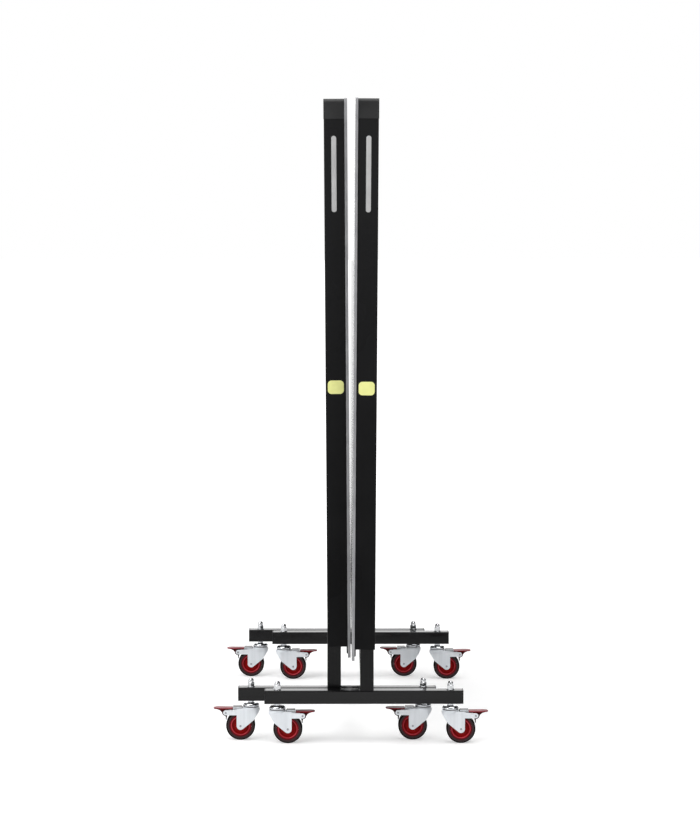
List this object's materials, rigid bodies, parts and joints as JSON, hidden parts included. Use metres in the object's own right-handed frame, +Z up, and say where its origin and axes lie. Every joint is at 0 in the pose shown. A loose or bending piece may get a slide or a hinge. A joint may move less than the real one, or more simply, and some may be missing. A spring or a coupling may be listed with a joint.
{
  "type": "folding table-tennis table",
  "caption": "Roll-away folding table-tennis table stored upright: paired half boards on T-shaped steel carriages with braked swivel casters.",
  "frame": {"origin": "on the floor, midway between the two nested halves, in the middle of the table's width", "axes": "+Z up; Y along the net line, +Y away from the camera; X across the folded table, +X towards the right half"},
  "size_m": [0.7078, 1.5674, 1.6402],
  "materials": {
    "board_face": "matte coated aluminium composite, pale grey at the edge",
    "black_powder_coat": "semi-gloss black powder coat",
    "guard_plastic": "dark grey moulded plastic",
    "black_steel_fittings": "black coated steel",
    "black_plastic": "black moulded plastic",
    "zinc_plate": "bright zinc plate",
    "tyre_rubber": "dark grey rubber",
    "red_core": "dark red moulded plastic",
    "red_pedal": "red moulded plastic"
  },
  "bodies": {
    "left_carriage": {"left_feet": "black_powder_coat", "left_posts": "black_powder_coat", "left_cross_tubes": "black_powder_coat", "left_end_caps": "black_plastic", "left_caster_stems": "zinc_plate", "left_acorn_nuts": "zinc_plate"},
    "right_carriage": {"right_feet": "black_powder_coat", "right_posts": "black_powder_coat", "right_cross_tubes": "black_powder_coat", "right_end_caps": "black_plastic", "right_caster_stems": "zinc_plate", "right_acorn_nuts": "zinc_plate"},
    "left_panel": {"left_board": "board_face", "left_side_rails": "black_powder_coat", "left_cross_rails": "black_powder_coat", "left_corner_guards": "guard_plastic", "left_pivot_brackets": "black_steel_fittings"},
    "left_legs": {"left_leg_frame": "black_powder_coat", "left_levellers": "black_plastic"},
    "left_links": {"left_link_bars": "black_steel_fittings"},
    "left_front_left_swivel": {"left_front_left_fork": "zinc_plate"},
    "left_front_left_wheel": {"left_front_left_tyre": "tyre_rubber", "left_front_left_wheel_core": "red_core"},
    "left_front_left_pedal": {"left_front_left_brake_pedal": "red_pedal"},
    "left_front_right_swivel": {"left_front_right_fork": "zinc_plate"},
    "left_front_right_wheel": {"left_front_right_tyre": "tyre_rubber", "left_front_right_wheel_core": "red_core"},
    "left_front_right_pedal": {"left_front_right_brake_pedal": "red_pedal"},
    "left_back_left_swivel": {"left_back_left_fork": "zinc_plate"},
    "left_back_left_wheel": {"left_back_left_tyre": "tyre_rubber", "left_back_left_wheel_core": "red_core"},
    "left_back_left_pedal": {"left_back_left_brake_pedal": "red_pedal"},
    "left_back_right_swivel": {"left_back_right_fork": "zinc_plate"},
    "left_back_right_wheel": {"left_back_right_tyre": "tyre_rubber", "left_back_right_wheel_core": "red_core"},
    "left_back_right_pedal": {"left_back_right_brake_pedal": "red_pedal"},
    "right_panel": {"right_board": "board_face", "right_side_rails": "black_powder_coat", "right_cross_rails": "black_powder_coat", "right_corner_guards": "guard_plastic", "right_pivot_brackets": "black_steel_fittings"},
    "right_legs": {"right_leg_frame": "black_powder_coat", "right_levellers": "black_plastic"},
    "right_links": {"right_link_bars": "black_steel_fittings"},
    "right_front_left_swivel": {"right_front_left_fork": "zinc_plate"},
    "right_front_left_wheel": {"right_front_left_tyre": "tyre_rubber", "right_front_left_wheel_core": "red_core"},
    "right_front_left_pedal": {"right_front_left_brake_pedal": "red_pedal"},
    "right_front_right_swivel": {"right_front_right_fork": "zinc_plate"},
    "right_front_right_wheel": {"right_front_right_tyre": "tyre_rubber", "right_front_right_wheel_core": "red_core"},
    "right_front_right_pedal": {"right_front_right_brake_pedal": "red_pedal"},
    "right_back_left_swivel": {"right_back_left_fork": "zinc_plate"},
    "right_back_left_wheel": {"right_back_left_tyre": "tyre_rubber", "right_back_left_wheel_core": "red_core"},
    "right_back_left_pedal": {"right_back_left_brake_pedal": "red_pedal"},
    "right_back_right_swivel": {"right_back_right_fork": "zinc_plate"},
    "right_back_right_wheel": {"right_back_right_tyre": "tyre_rubber", "right_back_right_wheel_core": "red_core"},
    "right_back_right_pedal": {"right_back_right_brake_pedal": "red_pedal"}
  },
  "joints": [
    {"name": "right_half_roll", "type": "slide", "parent": "left_carriage", "child": "right_carriage", "axis": [1, 0, 0], "range_m": [0, 1.45]},
    {"name": "left_panel_fold", "type": "hinge", "parent": "left_carriage", "child": "left_panel", "pos_m": [-0.042, 0.02125, 0.722], "axis": [0, -1, 0], "range_deg": [0, 89.63]},
    {"name": "left_legs_fold", "type": "hinge", "parent": "left_panel", "child": "left_legs", "pos_m": [-0.04652, 0.02125, 1.42199], "axis": [0, 1, 0], "range_deg": [0, 89.63]},
    {"name": "left_links_turn", "type": "hinge", "parent": "left_carriage", "child": "left_links", "pos_m": [-0.042, 0.02125, 0.662], "axis": [0, -1, 0], "range_deg": [0, 89.63]},
    {"name": "left_front_left_swivel_turn", "type": "hinge", "parent": "left_carriage", "child": "left_front_left_swivel", "pos_m": [-0.2569, -0.42075, 0.09], "axis": [0, 0, 1], "range_deg": [-180, 90]},
    {"name": "left_front_left_wheel_spin", "type": "hinge", "parent": "left_front_left_swivel", "child": "left_front_left_wheel", "pos_m": [-0.2839, -0.42075, 0.0375], "axis": [0, 1, 0], "continuous": true},
    {"name": "left_front_left_pedal_press", "type": "hinge", "parent": "left_front_left_swivel", "child": "left_front_left_pedal", "pos_m": [-0.3221, -0.42075, 0.072], "axis": [0, -1, 0], "range_deg": [0, 8]},
    {"name": "left_front_right_swivel_turn", "type": "hinge", "parent": "left_carriage", "child": "left_front_right_swivel", "pos_m": [0.1881, -0.42075, 0.09], "axis": [0, 0, 1], "range_deg": [-180, 90]},
    {"name": "left_front_right_wheel_spin", "type": "hinge", "parent": "left_front_right_swivel", "child": "left_front_right_wheel", "pos_m": [0.1611, -0.42075, 0.0375], "axis": [0, 1, 0], "continuous": true},
    {"name": "left_front_right_pedal_press", "type": "hinge", "parent": "left_front_right_swivel", "child": "left_front_right_pedal", "pos_m": [0.1229, -0.42075, 0.072], "axis": [0, -1, 0], "range_deg": [0, 8]},
    {"name": "left_back_left_swivel_turn", "type": "hinge", "parent": "left_carriage", "child": "left_back_left_swivel", "pos_m": [-0.2569, 0.46325, 0.09], "axis": [0, 0, 1], "range_deg": [-180, 90]},
    {"name": "left_back_left_wheel_spin", "type": "hinge", "parent": "left_back_left_swivel", "child": "left_back_left_wheel", "pos_m": [-0.2839, 0.46325, 0.0375], "axis": [0, 1, 0], "continuous": true},
    {"name": "left_back_left_pedal_press", "type": "hinge", "parent": "left_back_left_swivel", "child": "left_back_left_pedal", "pos_m": [-0.3221, 0.46325, 0.072], "axis": [0, -1, 0], "range_deg": [0, 8]},
    {"name": "left_back_right_swivel_turn", "type": "hinge", "parent": "left_carriage", "child": "left_back_right_swivel", "pos_m": [0.1881, 0.46325, 0.09], "axis": [0, 0, 1], "range_deg": [-180, 90]},
    {"name": "left_back_right_wheel_spin", "type": "hinge", "parent": "left_back_right_swivel", "child": "left_back_right_wheel", "pos_m": [0.1611, 0.46325, 0.0375], "axis": [0, 1, 0], "continuous": true},
    {"name": "left_back_right_pedal_press", "type": "hinge", "parent": "left_back_right_swivel", "child": "left_back_right_pedal", "pos_m": [0.1229, 0.46325, 0.072], "axis": [0, -1, 0], "range_deg": [0, 8]},
    {"name": "right_panel_fold", "type": "hinge", "parent": "right_carriage", "child": "right_panel", "pos_m": [0.042, -0.02125, 0.722], "axis": [0, 1, 0], "range_deg": [0, 89.63]},
    {"name": "right_legs_fold", "type": "hinge", "parent": "right_panel", "child": "right_legs", "pos_m": [0.04652, -0.02125, 1.42199], "axis": [0, -1, 0], "range_deg": [0, 89.63]},
    {"name": "right_links_turn", "type": "hinge", "parent": "right_carriage", "child": "right_links", "pos_m": [0.042, -0.02125, 0.662], "axis": [0, 1, 0], "range_deg": [0, 89.63]},
    {"name": "right_front_left_swivel_turn", "type": "hinge", "parent": "right_carriage", "child": "right_front_left_swivel", "pos_m": [-0.1881, -0.46325, 0.09], "axis": [0, 0, 1], "range_deg": [-180, 90]},
    {"name": "right_front_left_wheel_spin", "type": "hinge", "parent": "right_front_left_swivel", "child": "right_front_left_wheel", "pos_m": [-0.1611, -0.46325, 0.0375], "axis": [0, 1, 0], "continuous": true},
    {"name": "right_front_left_pedal_press", "type": "hinge", "parent": "right_front_left_swivel", "child": "right_front_left_pedal", "pos_m": [-0.1229, -0.46325, 0.072], "axis": [0, 1, 0], "range_deg": [0, 8]},
    {"name": "right_front_right_swivel_turn", "type": "hinge", "parent": "right_carriage", "child": "right_front_right_swivel", "pos_m": [0.2569, -0.46325, 0.09], "axis": [0, 0, 1], "range_deg": [-180, 90]},
    {"name": "right_front_right_wheel_spin", "type": "hinge", "parent": "right_front_right_swivel", "child": "right_front_right_wheel", "pos_m": [0.2839, -0.46325, 0.0375], "axis": [0, 1, 0], "continuous": true},
    {"name": "right_front_right_pedal_press", "type": "hinge", "parent": "right_front_right_swivel", "child": "right_front_right_pedal", "pos_m": [0.3221, -0.46325, 0.072], "axis": [0, 1, 0], "range_deg": [0, 8]},
    {"name": "right_back_left_swivel_turn", "type": "hinge", "parent": "right_carriage", "child": "right_back_left_swivel", "pos_m": [-0.1881, 0.42075, 0.09], "axis": [0, 0, 1], "range_deg": [-180, 90]},
    {"name": "right_back_left_wheel_spin", "type": "hinge", "parent": "right_back_left_swivel", "child": "right_back_left_wheel", "pos_m": [-0.1611, 0.42075, 0.0375], "axis": [0, 1, 0], "continuous": true},
    {"name": "right_back_left_pedal_press", "type": "hinge", "parent": "right_back_left_swivel", "child": "right_back_left_pedal", "pos_m": [-0.1229, 0.42075, 0.072], "axis": [0, 1, 0], "range_deg": [0, 8]},
    {"name": "right_back_right_swivel_turn", "type": "hinge", "parent": "right_carriage", "child": "right_back_right_swivel", "pos_m": [0.2569, 0.42075, 0.09], "axis": [0, 0, 1], "range_deg": [-180, 90]},
    {"name": "right_back_right_wheel_spin", "type": "hinge", "parent": "right_back_right_swivel", "child": "right_back_right_wheel", "pos_m": [0.2839, 0.42075, 0.0375], "axis": [0, 1, 0], "continuous": true},
    {"name": "right_back_right_pedal_press", "type": "hinge", "parent": "right_back_right_swivel", "child": "right_back_right_pedal", "pos_m": [0.3221, 0.42075, 0.072], "axis": [0, 1, 0], "range_deg": [0, 8]}
  ],
  "couplings": [
    {"joint": "left_panel_fold", "follows": "right_half_roll", "rad_per_m": 1.0788},
    {"joint": "left_legs_fold", "follows": "right_half_roll", "rad_per_m": 1.0788},
    {"joint": "left_links_turn", "follows": "right_half_roll", "rad_per_m": 1.0788},
    {"joint": "right_panel_fold", "follows": "right_half_roll", "rad_per_m": 1.0788},
    {"joint": "right_legs_fold", "follows": "right_half_roll", "rad_per_m": 1.0788},
    {"joint": "right_links_turn", "follows": "right_half_roll", "rad_per_m": 1.0788}
  ]
}
